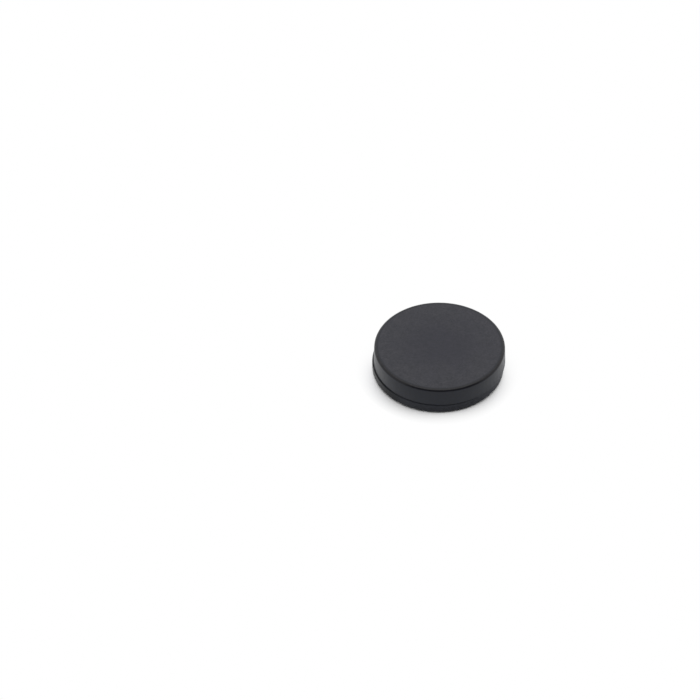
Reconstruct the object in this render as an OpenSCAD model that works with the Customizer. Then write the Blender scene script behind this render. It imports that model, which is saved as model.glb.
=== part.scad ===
// Disc magnet sealed in a two-part moulded casing.
// A flat magnet core lies in a deep cup, and a shallow lid closes the cup with a stepped joint.
// All lengths are in millimetres. +Z is up, and the origin is the centre of the lid's face,
// which is the face that the disc lies on, on the axis of the cup and the core.

/* [Magnet core] */
// Diameter of the magnet core
core_d = 20; // [10:0.5:40]
// Thickness of the magnet core
core_h = 3; // [2.5:0.1:8]
// Radius on the magnet core's two edges
core_edge_r = 0.3; // [0.1:0.05:0.6]

/* [Casing walls] */
// Thickness of the cup's closed face, over the core
cup_face_t = 1.1; // [0.8:0.05:2]
// Thickness of the lid's face, under the core
lid_face_t = 1.1; // [0.8:0.05:1.6]
// Thickness of the side wall at the seam, where the casing is widest
side_wall_t = 0.95; // [0.8:0.05:2]

/* [Casing outside] */
// Height of the seam above the lid's face
seam_h = 1.9; // [1.5:0.05:2.4]
// Draft of the cup's side, which leans in towards its face, in degrees
cup_draft = 2; // [0:0.5:4]
// Draft of the lid's side, which leans in towards its face, in degrees
lid_draft = 1; // [0:0.5:4]
// Radius on the outer edge of the cup's face
cup_edge_r = 0.5; // [0.2:0.05:0.8]
// Radius on the outer edge of the lid's face
lid_edge_r = 0.55; // [0.2:0.05:0.7]
// Height of the fine groove along the seam, which is cut into the cup's lip
seam_gap = 0.04; // [0.02:0.02:0.2]
// How far the groove reaches in from the side
seam_gap_depth = 0.3; // [0.1:0.05:0.35]
// Chamfer on the cup's lip, over the groove
seam_chamfer = 0.04; // [0.04:0.02:0.2]
// Chamfer on the lid's upper edge, which opens the groove to the side
ledge_chamfer = 0.2; // [0.02:0.02:0.24]
// Step at the seam: how far the lid's outside sits off the cup's (0 is a perfect match)
lid_offset = 0.25; // [0:0.05:0.3]
// Direction of that step: from -X, turned towards +Y, in degrees
lid_offset_turn = 18; // [-180:1:180]

/* [Stepped joint] */
// Height that the lid's tongue stands above the seam
tongue_h = 0.8; // [0.3:0.1:1]
// Thickness of the lid's tongue
tongue_t = 0.42; // [0.3:0.02:0.5]
// Lead-in chamfer on top of the tongue
tongue_chamfer = 0.12; // [0.05:0.01:0.15]

/* [Fits] */
// Gap all round the core in its pocket
core_clearance = 0.05; // [0.02:0.01:0.15]
// Gap between the tongue and the cup's lip
tongue_clearance = 0.03; // [0.02:0.01:0.1]
// Gap over the tongue, so that the two shells meet at the seam
tongue_top_clearance = 0.1; // [0.05:0.01:0.3]

/* [Hidden] */

// Facets of a full turn in the preview
$fn = 144;
// Hair by which a shell's side runs into its round edge, so that the two join cleanly
join = 0.0002;

// Radii, from the core outwards
core_r = core_d / 2;
pocket_r = core_r + core_clearance;
tongue_r = pocket_r + tongue_t;
lip_r = tongue_r + tongue_clearance;
seam_r = pocket_r + side_wall_t;

// Heights, from the lid's face upwards
core_z = lid_face_t;
tongue_z = seam_h + tongue_h;
recess_z = tongue_z + tongue_top_clearance;
pocket_top_z = core_z + core_h;
disc_h = pocket_top_z + cup_face_t;

// Half-section of a plain disc on y = 0 with both of its edges rounded
module rounded_disc_section(radius, height, edge_r) {
    translate([0, edge_r]) square([radius, height - 2 * edge_r]);
    square([radius - edge_r, height]);
    translate([radius - edge_r, edge_r]) circle(edge_r);
    translate([radius - edge_r, height - edge_r]) circle(edge_r);
}

// Half-section of one shell, solid, from its open edge at y = 0 up to its face: a chamfer at
// the open edge, a side that leans in by the draft, and a round edge that runs into both
module shell_section(height, draft, edge_r, chamfer) {
    edge_y = height - edge_r;
    edge_x = seam_r - edge_y * tan(draft) - edge_r / cos(draft);
    side_end = edge_r - join;
    polygon([
        [0, 0],
        [seam_r - chamfer, 0],
        [seam_r - chamfer * tan(draft), chamfer],
        [edge_x + side_end * cos(draft), edge_y + side_end * sin(draft)],
        [edge_x, edge_y],
        [edge_x, height],
        [0, height]
    ]);
    translate([edge_x, edge_y]) circle(edge_r);
}

// Half-section of the sealed space that the core lies in, shared by the two shells
module pocket_section() {
    translate([0, core_z]) rounded_disc_section(pocket_r, core_h, core_edge_r);
}

// Half-section of the lid's tongue, which stands inside the cup's lip
module tongue_section() {
    polygon([
        [0, seam_h],
        [tongue_r, seam_h],
        [tongue_r, tongue_z - tongue_chamfer],
        [tongue_r - tongue_chamfer, tongue_z],
        [0, tongue_z]
    ]);
}

// Deep shell: the upper face, most of the side, and a lip that reaches down round the tongue.
// The lip's outer part stops short of the lid, which leaves the groove of the seam
module casing_cup() {
    color("#45454a")
        rotate_extrude()
            difference() {
                union() {
                    translate([0, seam_h + seam_gap])
                        shell_section(disc_h - seam_h - seam_gap, cup_draft, cup_edge_r, seam_chamfer);
                    translate([0, seam_h]) square([seam_r - seam_gap_depth, recess_z - seam_h]);
                }
                translate([0, seam_h]) square([lip_r, recess_z - seam_h]);
                pocket_section();
            }
}

// Shallow shell: the face that the disc lies on, the foot of the side, and the tongue.
// Only its outside is off centre: the tongue and the pocket stay true to the cup and the core
module casing_lid() {
    color("#3e3f44")
        difference() {
            union() {
                translate([-lid_offset * cos(lid_offset_turn), lid_offset * sin(lid_offset_turn), seam_h])
                    mirror([0, 0, 1])
                        rotate_extrude() shell_section(seam_h, lid_draft, lid_edge_r, ledge_chamfer);
                rotate_extrude() tongue_section();
            }
            rotate_extrude() pocket_section();
        }
}

// Sintered magnet with a plated skin, held between the two faces
module magnet_core() {
    color("#b8b6b0")
        translate([0, 0, core_z])
            rotate_extrude()
                rounded_disc_section(core_r, core_h, core_edge_r);
}

casing_cup();
casing_lid();
magnet_core();
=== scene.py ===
import math

import bmesh
import bpy
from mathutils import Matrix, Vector, noise


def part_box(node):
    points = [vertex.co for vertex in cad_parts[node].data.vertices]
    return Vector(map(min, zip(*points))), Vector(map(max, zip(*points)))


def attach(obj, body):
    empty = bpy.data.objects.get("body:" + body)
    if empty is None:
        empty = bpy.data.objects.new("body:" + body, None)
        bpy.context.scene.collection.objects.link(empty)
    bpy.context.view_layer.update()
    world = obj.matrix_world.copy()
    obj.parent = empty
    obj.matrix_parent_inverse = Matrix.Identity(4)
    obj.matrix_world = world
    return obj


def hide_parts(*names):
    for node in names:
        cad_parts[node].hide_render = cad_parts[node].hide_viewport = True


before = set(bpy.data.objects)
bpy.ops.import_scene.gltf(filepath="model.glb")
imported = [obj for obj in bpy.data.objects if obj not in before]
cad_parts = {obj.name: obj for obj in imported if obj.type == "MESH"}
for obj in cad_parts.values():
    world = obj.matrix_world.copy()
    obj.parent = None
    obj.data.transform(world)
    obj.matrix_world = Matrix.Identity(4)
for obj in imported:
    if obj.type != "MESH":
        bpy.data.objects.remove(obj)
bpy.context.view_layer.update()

# ---------------------------------------------------------------- sizes, in metres
MM = 0.001
MICRON = 0.000001

cup_low, cup_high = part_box("casing_cup")
lid_low, lid_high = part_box("casing_lid")
core_low, core_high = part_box("magnet_core")

disc_top = cup_high.z
seam_height = cup_low.z
seam_radius = cup_high.x
tongue_top = lid_high.z
core_bottom = core_low.z
core_top = core_high.z
core_radius = core_high.x
lid_radius = (lid_high.x - lid_low.x) / 2
lid_shift = Vector(((lid_low.x + lid_high.x) / 2, (lid_low.y + lid_high.y) / 2, 0))

# The casing's section
CUP_DRAFT = math.radians(2)
LID_DRAFT = math.radians(1)
CUP_EDGE = 0.50 * MM
LID_EDGE = 0.55 * MM
SEAM_CHAMFER = 0.04 * MM
LEDGE_CHAMFER = 0.20 * MM
LIP_SOFTNESS = 0.04 * MM
SEAM_GAP = 0.04 * MM
SEAM_GAP_DEPTH = 0.30 * MM
POCKET_GAP = 0.05 * MM
TONGUE_THICKNESS = 0.42 * MM
TONGUE_GAP = 0.03 * MM
TONGUE_HEADROOM = 0.10 * MM
TONGUE_CHAMFER = 0.12 * MM
CORE_EDGE = 0.30 * MM

# How far the seam's lips wander in, how far in from the seam that reaches, and how often round the disc
LIP_WANDER = 0.04 * MM
LIP_WANDER_REACH = 0.25 * MM
LIP_WAVES = (4, 24)

# The faces: flat in the middle, falling away a little towards the rim. The rings of a face end a little
# before its rounded edge, at this many of the edge's radii from the corner
CROWN_START = 8.0 * MM
CROWN_END = 10.3 * MM
CROWN_DROP = 0.02 * MM
FACE_RINGS = 14
FACE_STOPS_SHORT = 1.2

pocket_radius = core_radius + POCKET_GAP
tongue_radius = pocket_radius + TONGUE_THICKNESS
lip_radius = tongue_radius + TONGUE_GAP

STEPS_ROUND = 360
EDGE_SEGMENTS = 10
SHARP_ANGLE = math.radians(35)
NOTHING = 1e-7


# ---------------------------------------------------------------- turning a section
def turned(section):
    """Spins a closed section round Z. Each corner is (radius, height, how far its rounding reaches)."""
    shape = bmesh.new()
    corners = [shape.verts.new((radius, 0, height)) for radius, height, _ in section]
    for here, there in zip(corners, corners[1:]):
        shape.edges.new((here, there))
    if section[0][0] > 0:
        shape.edges.new((corners[-1], corners[0]))
    for corner, (_, _, reach) in zip(corners, section):
        if reach > 0:
            bmesh.ops.bevel(shape, geom=[corner], affect="VERTICES", offset=reach, offset_type="OFFSET",
                            segments=EDGE_SEGMENTS, profile=0.5, material=-1)
    bmesh.ops.spin(shape, geom=shape.verts[:] + shape.edges[:], cent=(0, 0, 0), axis=(0, 0, 1),
                   angle=2 * math.pi, steps=STEPS_ROUND, use_merge=True)
    bmesh.ops.remove_doubles(shape, verts=shape.verts[:], dist=NOTHING)
    bmesh.ops.recalc_face_normals(shape, faces=shape.faces[:])
    return shape


def finished(name, shape, node, material):
    """Makes a piece of a shape, stands it in for its node and gives it its material."""
    mesh = bpy.data.meshes.new(name)
    shape.to_mesh(mesh)
    shape.free()
    mesh.shade_smooth()
    mesh.set_sharp_from_angle(angle=SHARP_ANGLE)
    piece = bpy.data.objects.new(name, mesh)
    bpy.context.collection.objects.link(piece)
    piece.data.materials.append(material)
    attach(piece, "root")
    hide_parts(node)


def tangent_reach(radius, draft):
    """How far a rounding of this radius reaches along the face and the drafted side."""
    return radius * math.tan((math.pi / 2 - draft) / 2)


def crowned_face(height, inwards, last_radius):
    """Corners of a face from its middle out; inwards is -1 for the top face and 1 for the bottom one."""
    corners = []
    for ring in range(FACE_RINGS + 1):
        radius = last_radius * math.sin(math.pi / 2 * ring / FACE_RINGS)
        share = min(max((radius - CROWN_START) / (CROWN_END - CROWN_START), 0), 1)
        fall = CROWN_DROP * share * share * (3 - 2 * share)
        corners.append((radius, height + inwards * fall, 0))
    return corners


def uneven_lip(shape, low, high, seed):
    """Lets a moulded lip between two heights wander in a little, as trimmed flash leaves it."""
    for vertex in shape.verts:
        if low < vertex.co.z < high and vertex.co.xy.length > seam_radius - LIP_WANDER_REACH:
            outward = Vector((vertex.co.x, vertex.co.y, 0)).normalized()
            wander = sum(noise.noise(outward * waves + Vector((0, 0, seed))) for waves in LIP_WAVES)
            vertex.co += outward * LIP_WANDER * (min(wander, 1) - 1) / 2


# ---------------------------------------------------------------- materials
class Finish:
    """A material under construction: its nodes, and the ways this object's patterns are mixed."""

    def __init__(self, name):
        self.material = bpy.data.materials.new(name)
        self.material.use_nodes = True
        self.nodes = self.material.node_tree.nodes
        self.links = self.material.node_tree.links
        self.shader = self.nodes["Principled BSDF"]
        self.place = self.nodes.new("ShaderNodeTexCoord").outputs["Object"]

    def fill(self, sockets, values):
        """Gives each socket its value: a pattern is linked, a number or a direction is written in."""
        for socket, value in zip(sockets, values):
            if isinstance(value, (int, float, tuple, Vector)):
                socket.default_value = value
            elif value is not None:
                self.links.new(value, socket)

    def maths(self, operation, first, second):
        node = self.nodes.new("ShaderNodeMath")
        node.operation = operation
        self.fill(node.inputs, (first, second))
        return node.outputs["Value"]

    def vector_maths(self, operation, first, second=None, result="Vector"):
        node = self.nodes.new("ShaderNodeVectorMath")
        node.operation = operation
        self.fill(node.inputs, (first, second))
        return node.outputs[result]

    def plus(self, first, second):
        return self.maths("ADD", first, second)

    def minus(self, first, second):
        return self.maths("SUBTRACT", first, second)

    def times(self, first, second):
        return self.maths("MULTIPLY", first, second)

    def larger(self, first, second):
        return self.maths("MAXIMUM", first, second)

    def less_where(self, value, where, share=1):
        """Takes this share of a value away in one place."""
        return self.times(value, self.minus(1, self.times(where, share)))

    def stretched(self, stretch, turn):
        """The object's own coordinates, turned round Z and then stretched."""
        turned_place = self.nodes.new("ShaderNodeMapping")
        turned_place.inputs["Rotation"].default_value = (0, 0, math.radians(turn))
        self.links.new(self.place, turned_place.inputs["Vector"])
        scaled_place = self.nodes.new("ShaderNodeMapping")
        scaled_place.inputs["Scale"].default_value = stretch
        self.links.new(turned_place.outputs["Vector"], scaled_place.inputs["Vector"])
        return scaled_place.outputs["Vector"]

    def cloud(self, size, detail=2, stretch=(1, 1, 1), turn=0):
        """Soft random patches about this size, from 0 to 1."""
        node = self.nodes.new("ShaderNodeTexNoise")
        node.inputs["Scale"].default_value = 1 / size
        node.inputs["Detail"].default_value = detail
        self.links.new(self.stretched(stretch, turn), node.inputs["Vector"])
        return node.outputs["Fac"]

    def pits(self, size):
        """Small round craters about this size apart, from 0 in the middle to 1."""
        node = self.nodes.new("ShaderNodeTexVoronoi")
        node.feature = "SMOOTH_F1"
        node.inputs["Scale"].default_value = 1 / size
        node.inputs["Smoothness"].default_value = 0.6
        self.links.new(self.place, node.inputs["Vector"])
        return node.outputs["Distance"]

    def ranged(self, value, from_low, from_high, to_low=0.0, to_high=1.0, curve="SMOOTHSTEP"):
        """Turns one range of values into another, smoothly unless the curve is LINEAR."""
        node = self.nodes.new("ShaderNodeMapRange")
        node.interpolation_type = curve
        for socket, number in (("From Min", from_low), ("From Max", from_high),
                               ("To Min", to_low), ("To Max", to_high)):
            node.inputs[socket].default_value = number
        self.links.new(value, node.inputs["Value"])
        return node.outputs["Result"]

    def hairlines(self, turn, width, length, rarity):
        """Thin straight rub marks in one direction: the higher the rarity, the fewer there are."""
        streaks = self.cloud(width, detail=1, stretch=(1, width / length, 1), turn=turn)
        return self.ranged(streaks, 0.5 + rarity, 0.54 + rarity)

    def tinted(self, factor, shades, strength=None):
        """Colours the surface by a row of (factor, colour), and multiplies that by the strength."""
        node = self.nodes.new("ShaderNodeValToRGB")
        node.color_ramp.elements[1].position = shades[-1][0]
        node.color_ramp.elements[1].color = (*shades[-1][1], 1)
        node.color_ramp.elements[0].color = (*shades[0][1], 1)
        for position, colour in shades[1:-1]:
            node.color_ramp.elements.new(position).color = (*colour, 1)
        self.links.new(factor, node.inputs["Fac"])
        colour = node.outputs["Color"]
        if strength:
            scaled = self.nodes.new("ShaderNodeVectorMath")
            scaled.operation = "SCALE"
            self.links.new(colour, scaled.inputs[0])
            self.links.new(strength, scaled.inputs["Scale"])
            colour = scaled.outputs["Vector"]
        self.links.new(colour, self.shader.inputs["Base Color"])

    def relief(self, *layers):
        """Stacks bumps, each a height from 0 to 1 and the depth that it stands for."""
        normal = None
        for height, depth in layers:
            node = self.nodes.new("ShaderNodeBump")
            node.inputs["Distance"].default_value = depth
            self.links.new(height, node.inputs["Height"])
            if normal:
                self.links.new(normal, node.inputs["Normal"])
            normal = node.outputs["Normal"]
        self.links.new(normal, self.shader.inputs["Normal"])


# Where the casing's finish changes. Each pair says where a place starts and where it is full.
# Distances down from the cup's face
FACE_FROM_TOP = (0.16 * MM, 0.10 * MM)
ROUNDING_FROM_TOP = (0.42 * MM, 0.34 * MM)
HANDLED_FROM_TOP = (1.1 * MM, 0.25 * MM)
# Distances in from the seam's radius
SIDE_FROM_EDGE = (0.35 * MM, 0.20 * MM)
ROUNDING_FROM_EDGE = (0.38 * MM, 0.28 * MM)
HANDLED_FROM_EDGE = (1.3 * MM, 0.45 * MM)
# A ring just inside the face's rounded rim, darkened with painted shade
RIM_RING_INSIDE = (0.87 * MM, 0.66 * MM)
RIM_RING_OUTSIDE = (0.38 * MM, 0.52 * MM)
# Distances up from the lid's face, up from the seam, down from the ledge, and out towards -X
# At the foot, painted shade takes the lid to its darkest colour, and the roughness is lower
FOOT_HEIGHT = (0.52 * MM, 0.28 * MM)
LEDGE_ABOVE_SEAM = (0.10 * MM, 0.04 * MM)
LEDGE_BELOW = 0.03 * MM
LID_BELOW_LEDGE = 0.05 * MM
# Towards -X, where the lid stands proud, its ledge and side take painted shade
PROUD_SIDE = (-5 * MM, -9 * MM)

# The casing's shade: 0 is its side, MIDDLE_SHADE the middle of its face, and 1 the face's edge, where a
# painted sheen leaves it palest
MIDDLE_SHADE = 0.12
FACE_PATCHES = 0.25
# The next two: how far the face pales from its middle out to its edge, and over which radii: a painted sheen
FACE_PAINTED_SHEEN = 0.75
PAINTED_SHEEN_RADIUS = (1 * MM, 10 * MM)
ROUNDING_SHADE = 0.08
LEDGE_SHADE = 0.8
LID_SHADE = 0.9

# The strength of its colour: how much a speckle of two sizes varies it, and where painted shade lowers it
# round the rim
MOTTLE_CONTRAST = 1.9
RIPPLE_CONTRAST = 1.6
CONTRAST_OFF_FACE = 0.3
# Painted shade: how much darker the ring inside the rim and the rounded rim are
RIM_RING_PAINTED_SHADE = 0.95
ROUNDING_PAINTED_SHADE = 0.3

# The casing's roughness across its patches, and what adds to it or takes from it
CASING_ROUGHNESS = (0.30, 0.36)
GRAIN_ROUGHER = 0.03
HANDLED_SMOOTHER = 0.03
FOOT_SMOOTHER = 0.16
MARKS_SMOOTHER = 0.08

NICKEL_ROUGHNESS = (0.20, 0.32)
TUMBLING_ROUGHER = 0.12
NICKEL_STAINED = (0.64, 0.61, 0.55)
NICKEL_CLEAN = (0.70, 0.68, 0.64)

# The middle of a soft cloud's values, and nearly all of them
CLOUD_CORE = (0.35, 0.65)
CLOUD_SPAN = (0.30, 0.70)


class CasingPlaces:
    """Where the casing's finish changes: each place is 1 inside and fades to 0 outside it.

    Two are different: contrast is 1 on the face and falls only part of the way, and radius is the
    distance from the axis.
    """

    def __init__(self, finish):
        apart = finish.nodes.new("ShaderNodeSeparateXYZ")
        finish.links.new(finish.place, apart.inputs["Vector"])
        height = apart.outputs["Z"]
        self.radius = finish.vector_maths("LENGTH", finish.vector_maths("MULTIPLY", finish.place, (1, 1, 0)),
                                          result="Value")

        def from_top(limits, lowest=0.0):
            return finish.ranged(height, disc_top - limits[0], disc_top - limits[1], lowest)

        def from_edge(limits):
            return finish.ranged(self.radius, seam_radius - limits[0], seam_radius - limits[1])

        ledge_foot = seam_height - LEDGE_CHAMFER
        self.face = from_top(FACE_FROM_TOP)
        self.contrast = from_top(FACE_FROM_TOP, CONTRAST_OFF_FACE)
        self.side = from_edge(SIDE_FROM_EDGE)
        self.foot = finish.ranged(height, *FOOT_HEIGHT)
        self.ledge = finish.times(
            finish.ranged(height, ledge_foot - LEDGE_BELOW, ledge_foot),
            finish.ranged(height, seam_height + LEDGE_ABOVE_SEAM[0], seam_height + LEDGE_ABOVE_SEAM[1]))
        self.lid = finish.ranged(height, ledge_foot, ledge_foot - LID_BELOW_LEDGE)
        self.proud = finish.ranged(apart.outputs["X"], *PROUD_SIDE)
        self.rim_painted_shade = finish.times(finish.times(from_edge(RIM_RING_INSIDE), from_edge(RIM_RING_OUTSIDE)),
                                     self.face)
        self.rounding = finish.times(from_edge(ROUNDING_FROM_EDGE), from_top(ROUNDING_FROM_TOP))
        self.handled = finish.times(from_edge(HANDLED_FROM_EDGE), from_top(HANDLED_FROM_TOP))


def moulded_plastic(name, gloss, side, middle, light):
    """Black casing plastic: fine spark-eroded grain, faint flow, drag lines on the side and rub marks."""
    finish = Finish(name)
    finish.shader.inputs["IOR"].default_value = 1.5
    finish.shader.inputs["Specular IOR Level"].default_value = gloss
    places = CasingPlaces(finish)

    grain = finish.cloud(0.11 * MM, detail=3)
    craters = finish.pits(0.16 * MM)
    mottle = finish.cloud(0.35 * MM)
    ripple = finish.cloud(0.8 * MM)
    flow = finish.cloud(3.5 * MM, detail=3)
    patches = finish.plus(finish.times(flow, 0.7), finish.times(ripple, 0.3))
    drag = finish.times(finish.cloud(0.16 * MM, detail=1, stretch=(1, 1, 0.04)), places.side)
    marks = finish.larger(finish.hairlines(24, 0.05 * MM, 5 * MM, 0.21),
                          finish.larger(finish.hairlines(-38, 0.04 * MM, 3 * MM, 0.22),
                                        finish.hairlines(81, 0.05 * MM, 7 * MM, 0.22)))
    marks = finish.times(marks, places.face)

    # Shade: the face is paler towards its edge, a painted sheen, and the lid darkest at its foot and where it
    # stands proud, painted shade
    # The patches are the plastic's own uneven tone; the rise with radius is a painted sheen towards the
    # face's edge
    shade = finish.plus(finish.times(finish.ranged(patches, *CLOUD_CORE), FACE_PATCHES),
                        finish.times(finish.ranged(places.radius, *PAINTED_SHEEN_RADIUS), FACE_PAINTED_SHEEN))
    shade = finish.times(finish.larger(shade, MIDDLE_SHADE), places.face)
    # The rounded rim takes most of the way to the face's middle colour, so less of the side's painted cool
    # sheen shows there
    shade = finish.larger(shade, finish.times(places.rounding, ROUNDING_SHADE))
    shade = finish.larger(shade, finish.times(places.ledge, LEDGE_SHADE))
    shade = finish.larger(shade, finish.times(places.lid, LID_SHADE))
    # Painted shade: the lid's foot goes to its darkest colour
    shade = finish.less_where(shade, places.foot)
    # Painted shade on the ledge and lid towards -X, where the lid stands proud
    shade = finish.less_where(shade, finish.times(finish.larger(places.ledge, places.lid), places.proud))

    # Strength: a fine speckle round 1, calmer off the face, and darker round the rim with painted shade
    speckle = finish.plus(finish.times(mottle, MOTTLE_CONTRAST), finish.times(ripple, RIPPLE_CONTRAST))
    speckle = finish.times(finish.minus(speckle, (MOTTLE_CONTRAST + RIPPLE_CONTRAST) / 2), places.contrast)
    strength = finish.less_where(finish.plus(speckle, 1), places.rim_painted_shade, RIM_RING_PAINTED_SHADE)
    strength = finish.less_where(strength, places.rounding, ROUNDING_PAINTED_SHADE)
    finish.tinted(shade, ((0, side), (MIDDLE_SHADE, middle), (1, light)), strength)

    rough = finish.ranged(patches, *CLOUD_SPAN, *CASING_ROUGHNESS)
    rough = finish.plus(rough, finish.times(finish.ranged(grain, *CLOUD_CORE), GRAIN_ROUGHER))
    rough = finish.minus(rough, finish.times(places.handled, HANDLED_SMOOTHER))
    rough = finish.minus(rough, finish.times(places.foot, FOOT_SMOOTHER))
    rough = finish.minus(rough, finish.times(marks, MARKS_SMOOTHER))
    finish.links.new(rough, finish.shader.inputs["Roughness"])

    finish.relief((flow, 6 * MICRON), (ripple, 4 * MICRON), (mottle, 3 * MICRON), (craters, 1.4 * MICRON),
                  (grain, 1.8 * MICRON), (drag, 1.5 * MICRON), (marks, -1.0 * MICRON))
    return finish.material


def nickel_plate():
    """Barrel-plated nickel on the magnet: bright, slightly rippled, with tumbling marks."""
    finish = Finish("nickel_plate")
    finish.shader.inputs["Metallic"].default_value = 1

    ripple = finish.cloud(0.5 * MM)
    stain = finish.cloud(4 * MM, detail=4)
    grain = finish.cloud(0.06 * MM)
    marks = finish.larger(finish.hairlines(12, 0.05 * MM, 4 * MM, 0.18),
                          finish.hairlines(-57, 0.04 * MM, 3 * MM, 0.18))
    finish.tinted(finish.ranged(stain, *CLOUD_CORE), ((0, NICKEL_STAINED), (1, NICKEL_CLEAN)))
    rough = finish.plus(finish.ranged(stain, *CLOUD_SPAN, *NICKEL_ROUGHNESS),
                        finish.times(marks, TUMBLING_ROUGHER))
    finish.links.new(rough, finish.shader.inputs["Roughness"])
    finish.relief((ripple, 2 * MICRON), (grain, 0.5 * MICRON), (marks, -0.8 * MICRON))
    return finish.material


# The cup's side colour is its own near-black with a blue cast that is a painted cool sheen; the lid's darkest
# colour is where its painted shade goes
cup_plastic = moulded_plastic("cup_plastic", gloss=0.32, side=(0.0010, 0.0037, 0.0118),
                              middle=(0.0060, 0.0045, 0.0078), light=(0.0163, 0.0148, 0.0162))
lid_plastic = moulded_plastic("lid_plastic", gloss=0.15, side=(0.0003, 0.0015, 0.0035),
                              middle=(0.0035, 0.0048, 0.0075), light=(0.0268, 0.0290, 0.0365))
nickel = nickel_plate()


# ---------------------------------------------------------------- pieces
def casing_cup():
    """Upper shell: crowned face, drafted side, softened lip and the pocket for the magnet."""
    groove_top = seam_height + SEAM_GAP
    lip = groove_top + SEAM_CHAMFER
    rim_radius = seam_radius - (disc_top - lip) * math.tan(CUP_DRAFT)
    section = crowned_face(disc_top, -1, rim_radius - FACE_STOPS_SHORT * CUP_EDGE)
    section += [
        (rim_radius, disc_top - CROWN_DROP, tangent_reach(CUP_EDGE, CUP_DRAFT)),
        (seam_radius, lip, LIP_SOFTNESS / 2),
        (seam_radius - SEAM_CHAMFER, groove_top, LIP_SOFTNESS / 2),
        (seam_radius - SEAM_GAP_DEPTH, groove_top, 0),
        (seam_radius - SEAM_GAP_DEPTH, seam_height, 0),
        (lip_radius, seam_height, 0),
        (lip_radius, tongue_top + TONGUE_HEADROOM, 0),
        (pocket_radius, tongue_top + TONGUE_HEADROOM, 0),
        (pocket_radius, core_top, CORE_EDGE),
        (0, core_top, 0),
    ]
    shape = turned(section)
    uneven_lip(shape, groove_top - NOTHING, lip + SEAM_CHAMFER / 2, seed=1)
    finished("casing_cup_shell", shape, "casing_cup", cup_plastic)


def casing_lid():
    """Lower shell: its outside sits a little to one side, its tongue and pocket sit true."""
    ledge = seam_height - LEDGE_CHAMFER
    rim_radius = lid_radius - ledge * math.tan(LID_DRAFT)
    section = crowned_face(0, 1, rim_radius - FACE_STOPS_SHORT * LID_EDGE)
    section += [
        (rim_radius, CROWN_DROP, tangent_reach(LID_EDGE, LID_DRAFT)),
        (lid_radius, ledge, LIP_SOFTNESS),
        (lid_radius - LEDGE_CHAMFER, seam_height, LIP_SOFTNESS),
        (tongue_radius, seam_height, 0),
        (tongue_radius, tongue_top - TONGUE_CHAMFER, 0),
        (tongue_radius - TONGUE_CHAMFER, tongue_top, 0),
        (pocket_radius, tongue_top, 0),
        (pocket_radius, core_bottom, CORE_EDGE),
        (0, core_bottom, 0),
    ]
    shape = turned(section)
    uneven_lip(shape, ledge - LIP_SOFTNESS, seam_height + NOTHING, seed=5)
    outside = [vertex for vertex in shape.verts
               if vertex.co.z < core_bottom - NOTHING
               or (vertex.co.z <= seam_height + NOTHING
                   and vertex.co.xy.length > tongue_radius + NOTHING)]
    bmesh.ops.translate(shape, verts=outside, vec=lid_shift)
    finished("casing_lid_shell", shape, "casing_lid", lid_plastic)


def magnet_core():
    """The magnet itself: a plain plated disc with rounded edges."""
    section = [
        (0, core_top, 0),
        (core_radius, core_top, CORE_EDGE),
        (core_radius, core_bottom, CORE_EDGE),
        (0, core_bottom, 0),
    ]
    finished("magnet_core_disc", turned(section), "magnet_core", nickel)


casing_cup()
casing_lid()
magnet_core()


# ---------------------------------------------------------------- floor, light and camera
CAMERA_HEIGHT_ANGLE = math.radians(42.95)
CAMERA_DISTANCE = 974.5 * MM
CAMERA_LENS = 300
AIM_LEFT = 14.92 * MM
AIM_ABOVE = 3.06 * MM

# The floor fades to pure white over this reach out from the lid's edge. A lobe is a compass heading,
# clockwise from +Y, and how much further the shadow lasts that way
FLOOR_SIZE = 3
FLOOR_WHITE = 0.95
SHADOW_START = -0.12 * MM
SHADOW_REACH = 2.8 * MM
SHADOW_EVERYWHERE = 0.04
SHADOW_LOBES = ((140, 0.55), (224, 0.90))
LOBE_SHARPNESS = 4

# Beneath the rounded foot, out of the light, the paper's colour is painted this dark, a painted shadow, and
# regains its white towards the edge
UNDER_START = -0.6 * MM
UNDER_END = -0.2 * MM
UNDER_WHITE = 0.2

# The disc's gloss sees the floor fade to pure white round a centre a little to the right
MIRROR_FADE_START = 0.0
MIRROR_FADE_END = 3.0 * MM
MIRROR_SHIFT = Vector((0.8 * MM, 0, 0))

CARD_DISTANCE = 2.0
CARD_HEIGHT = 2.4
CARD_HALF_ANGLE = math.radians(62)
CARD_TURN = math.radians(8)
CARD_COLOUR = (0.115, 0.118, 0.125)
CARD_STEPS = 32

WHITE = (1, 1, 1)
COOL_WHITE = (0.82, 0.92, 1.30)


def camera():
    """A long lens that looks down on the disc, which lies to the right of the middle of the frame."""
    lens = bpy.data.cameras.new("camera")
    lens.lens = CAMERA_LENS
    lens.sensor_width = 36
    lens.clip_start = 0.01
    lens.clip_end = 100
    view = bpy.data.objects.new("camera", lens)
    back = Vector((0, -math.cos(CAMERA_HEIGHT_ANGLE), math.sin(CAMERA_HEIGHT_ANGLE)))
    up = Vector((0, math.sin(CAMERA_HEIGHT_ANGLE), math.cos(CAMERA_HEIGHT_ANGLE)))
    view.location = Vector((-AIM_LEFT, 0, 0)) + up * AIM_ABOVE + back * CAMERA_DISTANCE
    view.rotation_euler = (math.pi / 2 - CAMERA_HEIGHT_ANGLE, 0, 0)
    bpy.context.collection.objects.link(view)
    bpy.context.scene.camera = view


def staged(name, shape, material):
    """Stands a piece of the studio round the object."""
    mesh = bpy.data.meshes.new(name)
    shape.to_mesh(mesh)
    shape.free()
    mesh.materials.append(material)
    piece = bpy.data.objects.new(name, mesh)
    bpy.context.collection.objects.link(piece)
    return piece


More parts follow.
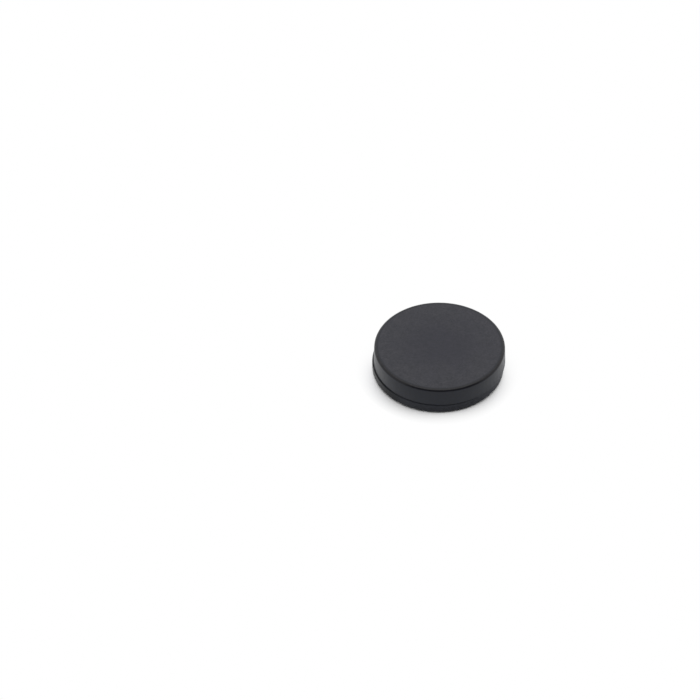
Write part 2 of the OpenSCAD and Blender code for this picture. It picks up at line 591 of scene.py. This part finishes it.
def white_floor():
    """White paper that keeps the shadow, with a painted shadow in its colour beneath the lid; beyond it, the
    lens and reflections see it as pure white.
    """
    floor = Finish("white_paper")
    floor.nodes.remove(floor.shader)
    paper = floor.nodes.new("ShaderNodeBsdfDiffuse")
    white = floor.nodes.new("ShaderNodeEmission")
    ray = floor.nodes.new("ShaderNodeLightPath")

    def beyond_edge(centre):
        """How far a point lies outside a circle of the lid's size."""
        return floor.minus(floor.vector_maths("DISTANCE", floor.place, centre, "Value"), lid_radius)

    outside = beyond_edge(lid_shift)
    # A painted shadow: inside the lid's edge, the paper's colour darkens
    paper_painted_shadow = floor.ranged(outside, UNDER_START, UNDER_END, UNDER_WHITE, FLOOR_WHITE, curve="LINEAR")
    floor.links.new(paper_painted_shadow, paper.inputs["Color"])

    heading = floor.vector_maths("NORMALIZE", floor.place)
    depth = SHADOW_EVERYWHERE
    for compass, lasting in SHADOW_LOBES:
        angle = math.radians(compass)
        along = floor.vector_maths("DOT_PRODUCT", heading, (math.sin(angle), math.cos(angle), 0), "Value")
        lobe = floor.maths("POWER", floor.larger(along, 0), LOBE_SHARPNESS)
        depth = floor.plus(floor.times(lobe, lasting), depth)
    reach = floor.ranged(outside, SHADOW_START, SHADOW_REACH, curve="LINEAR")
    seen = floor.times(ray.outputs["Is Camera Ray"], floor.maths("POWER", reach, depth))

    mirror = floor.ranged(beyond_edge(lid_shift + MIRROR_SHIFT), MIRROR_FADE_START, MIRROR_FADE_END)
    indirect = floor.larger(ray.outputs["Is Glossy Ray"], ray.outputs["Is Transmission Ray"])
    reflected = floor.times(indirect, mirror)

    mixed = floor.nodes.new("ShaderNodeMixShader")
    floor.links.new(floor.plus(seen, reflected), mixed.inputs["Fac"])
    floor.links.new(paper.outputs["BSDF"], mixed.inputs[1])
    floor.links.new(white.outputs["Emission"], mixed.inputs[2])
    floor.links.new(mixed.outputs["Shader"], floor.nodes["Material Output"].inputs["Surface"])

    shape = bmesh.new()
    bmesh.ops.create_grid(shape, x_segments=1, y_segments=1, size=FLOOR_SIZE)
    staged("floor", shape, floor.material)


def dark_card():
    """A curved dark card behind the camera, which draws the edges; the lens doesn't see it."""
    card_board = Finish("dark_card")
    card_board.shader.inputs["Base Color"].default_value = (*CARD_COLOUR, 1)
    card_board.shader.inputs["Roughness"].default_value = 1
    card_board.shader.inputs["Specular IOR Level"].default_value = 0
    shape = bmesh.new()
    start = CARD_TURN - CARD_HALF_ANGLE
    foot = shape.verts.new((CARD_DISTANCE * math.sin(start), -CARD_DISTANCE * math.cos(start), 0))
    head = shape.verts.new((foot.co.x, foot.co.y, CARD_HEIGHT))
    edge = shape.edges.new((foot, head))
    bmesh.ops.spin(shape, geom=[foot, head, edge], cent=(0, 0, 0), axis=(0, 0, 1),
                   angle=2 * CARD_HALF_ANGLE, steps=CARD_STEPS)
    card = staged("dark_card", shape, card_board.material)
    card.visible_camera = False


def softbox(name, height_angle, distance, size, power, colour):
    """A large soft square lamp over the back of the table, aimed at the disc."""
    lamp = bpy.data.lights.new(name, "AREA")
    lamp.shape = "SQUARE"
    lamp.size = size
    lamp.energy = power
    lamp.color = colour
    stand = bpy.data.objects.new(name, lamp)
    away = Vector((0, math.cos(height_angle), math.sin(height_angle)))
    stand.location = away * distance
    stand.rotation_euler = (-(math.pi / 2 - height_angle), 0, 0)
    bpy.context.collection.objects.link(stand)


def studio():
    """Plain white surroundings and two soft lamps."""
    world = bpy.data.worlds.new("studio")
    bpy.context.scene.world = world
    world.use_nodes = True
    world.node_tree.nodes["Background"].inputs["Color"].default_value = (*WHITE, 1)
    world.node_tree.nodes["Background"].inputs["Strength"].default_value = 1.0
    bpy.context.scene.view_settings.view_transform = "Standard"
    softbox("back_softbox", height_angle=math.radians(45), distance=2.0, size=1.6, power=4, colour=COOL_WHITE)
    softbox("top_softbox", height_angle=math.radians(88), distance=2.0, size=2.0, power=6, colour=WHITE)


camera()
white_floor()
dark_card()
studio()
